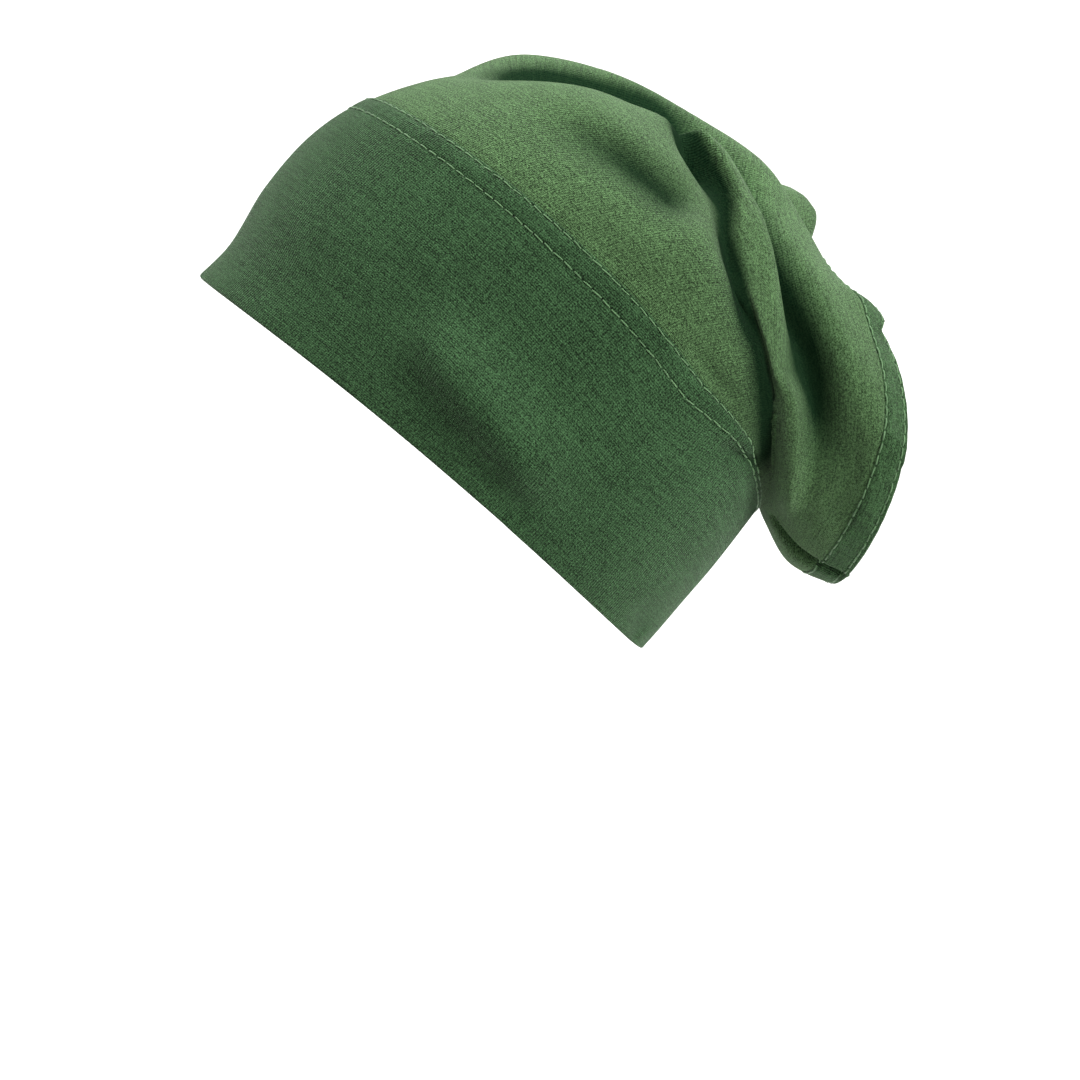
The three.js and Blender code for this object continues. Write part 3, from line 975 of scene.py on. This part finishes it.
class UNDERSCARF_OT_stitches(bpy.types.Operator):
    """Sews two rows along the band's seam and two round the hem"""

    bl_idname = "underscarf.stitches"
    bl_label = "Stitches"

    def execute(self, context):
        scene = context.scene
        sizes, stitches, colours = scene.cap_sizes, scene.cap_stitches, scene.cap_colours
        tube = Tube(sizes)
        shade = thread_material(tuple(colours.thread))
        over_cloth, over_hem = 0.00005, 0.0001
        turns = tube.turn_at(np.linspace(0, 1, 721))
        seam, hem_stretch = tube.seam_at(turns), tube.stretch(turns, np.ones_like(turns))
        seam_rows = [seam * (1 - row / sizes.band) for row in (stitches.edge_row, stitches.inner_row)]
        hem_rows = [1 - row / hem_stretch for row in (stitches.hem_edge_row, stitches.hem_inner_row)]
        over_band = sizes.band_rise + over_cloth
        seam_sewing = stitch_rows("seam_stitches", tube, turns, seam_rows, over_band, stitches, shade, 3)
        hem_sewing = stitch_rows("hem_stitches", tube, turns, hem_rows, over_hem, stitches, shade, 4)
        dress(seam_sewing)
        dress(hem_sewing)
        return {"FINISHED"}


class UNDERSCARF_OT_stage(bpy.types.Operator):
    """Makes the pale floor, the soft lights and the camera"""

    bl_idname = "underscarf.stage"
    bl_label = "Stage"

    def execute(self, context):
        scene, colours = context.scene, context.scene.cap_colours
        scene.view_settings.view_transform = "Standard"
        sky_light, backdrop_light = 0.05, 1.0
        world = bpy.data.worlds.new("studio")
        scene.world = world
        world.use_nodes = True
        tree = world.node_tree
        sky = tree.nodes["Background"]
        sky.inputs["Color"].default_value = (1.0, 1.0, 1.0, 1)
        sky.inputs["Strength"].default_value = sky_light
        seen = tree.nodes.new("ShaderNodeBackground")
        seen.inputs["Color"].default_value = (1.0, 1.0, 1.0, 1)
        seen.inputs["Strength"].default_value = backdrop_light
        rays = tree.nodes.new("ShaderNodeLightPath")
        both = tree.nodes.new("ShaderNodeMixShader")
        link(tree, rays, "Is Camera Ray", both, 0)
        link(tree, sky, "Background", both, 1)
        link(tree, seen, "Background", both, 2)
        link(tree, both, "Shader", tree.nodes["World Output"], "Surface")

        self.floor(context, colours)
        centre = Vector((0.0, 0.02, -0.09))
        # Name, place, target, side and power in watts
        lamps = (
            ("key", (0.12, -0.60, 1.05), centre, 0.4, 10.0),
            ("top", (0.10, 0.25, 1.05), centre, 0.5, 7.5),
            ("back", (0.75, 0.90, 0.05), centre, 0.5, 12.5),
            ("side", (1.00, -0.10, 0.30), centre, 0.5, 4.0),
            ("wash left", (-0.9, -1.2, 1.2), Vector((-2.1, -0.6, 0.3)), 0.8, 28.0),
            ("wash right", (-0.9, 1.2, 1.2), Vector((-2.1, 0.6, 0.3)), 0.8, 28.0),
        )
        for name, place, target, side, power in lamps:
            lamp = bpy.data.lights.new(name, "AREA")
            lamp.size = side
            lamp.energy = power
            holder = bpy.data.objects.new(name, lamp)
            holder.location = place
            holder.rotation_euler = (target - Vector(place)).to_track_quat("-Z", "Y").to_euler()
            context.collection.objects.link(holder)

        sensor_mm, lens_mm = 36.0, 57.4
        distance, tilt = 0.620, math.radians(3.0)
        aim = Vector((0.0, 0.0216, -0.1595))
        lens_data = bpy.data.cameras.new("camera")
        lens_data.sensor_width = sensor_mm
        lens_data.lens = lens_mm
        camera = bpy.data.objects.new("camera", lens_data)
        back = Vector((math.cos(tilt), 0.0, math.sin(tilt)))
        camera.location = aim + back * distance
        camera.rotation_euler = (-back).to_track_quat("-Z", "Y").to_euler()
        context.collection.objects.link(camera)
        scene.camera = camera
        return {"FINISHED"}

    def floor(self, context, colours):
        """A pale floor that curves up behind the cap."""
        front, drop, reach, bend, rise, side = 0.12, -0.34, 1.3, 0.9, 2.6, 4.0
        glow = 0.20
        arc = [math.radians(a) for a in range(0, 91, 6)]
        line = [(front, drop)]
        line += [(-reach - bend * math.sin(a), drop + bend * (1 - math.cos(a))) for a in arc]
        line.append((-reach - bend, rise))
        corners = [(x, y, z) for x, z in line for y in (-side, side)]
        faces = [(2 * i, 2 * i + 2, 2 * i + 3, 2 * i + 1) for i in range(len(line) - 1)]
        mesh = bpy.data.meshes.new("floor")
        mesh.from_pydata(corners, [], faces)
        mesh.polygons.foreach_set("use_smooth", [True] * len(mesh.polygons))
        shade = bpy.data.materials.new("pale_floor")
        shade.use_nodes = True
        paint = shade.node_tree.nodes["Principled BSDF"]
        paint.inputs["Base Color"].default_value = (*colours.floor, 1)
        paint.inputs["Roughness"].default_value = 0.9
        paint.inputs["Specular IOR Level"].default_value = 0.1
        paint.inputs["Emission Color"].default_value = (1, 1, 1, 1)
        paint.inputs["Emission Strength"].default_value = glow
        mesh.materials.append(shade)
        floor = bpy.data.objects.new("floor", mesh)
        context.collection.objects.link(floor)


class UNDERSCARF_PT_panel(bpy.types.Panel):
    """Lists the cap's sizes and the operators that make it"""

    bl_idname = "UNDERSCARF_PT_panel"
    bl_label = "Underscarf cap"
    bl_space_type = "VIEW_3D"
    bl_region_type = "UI"
    bl_category = "Underscarf"

    def draw(self, context):
        for group in (context.scene.cap_sizes, context.scene.cap_stitches, context.scene.cap_colours):
            box = self.layout.box()
            for name in group.__annotations__:
                box.prop(group, name)
        for operator in OPERATORS:
            self.layout.operator(operator.bl_idname)


OPERATORS = (
    UNDERSCARF_OT_front_band,
    UNDERSCARF_OT_crown,
    UNDERSCARF_OT_back_hem,
    UNDERSCARF_OT_stitches,
    UNDERSCARF_OT_stage,
)
CLASSES = (CapSizes, StitchSizes, CapColours, *OPERATORS, UNDERSCARF_PT_panel)


def register():
    for part in CLASSES:
        bpy.utils.register_class(part)
    bpy.types.Scene.cap_sizes = PointerProperty(type=CapSizes)
    bpy.types.Scene.cap_stitches = PointerProperty(type=StitchSizes)
    bpy.types.Scene.cap_colours = PointerProperty(type=CapColours)


def unregister():
    del bpy.types.Scene.cap_colours
    del bpy.types.Scene.cap_stitches
    del bpy.types.Scene.cap_sizes
    for part in reversed(CLASSES):
        bpy.utils.unregister_class(part)


def main():
    register()
    bpy.ops.underscarf.stage()
    bpy.ops.underscarf.crown()
    bpy.ops.underscarf.front_band()
    bpy.ops.underscarf.back_hem()
    bpy.ops.underscarf.stitches()


if __name__ == "__main__":
    main()
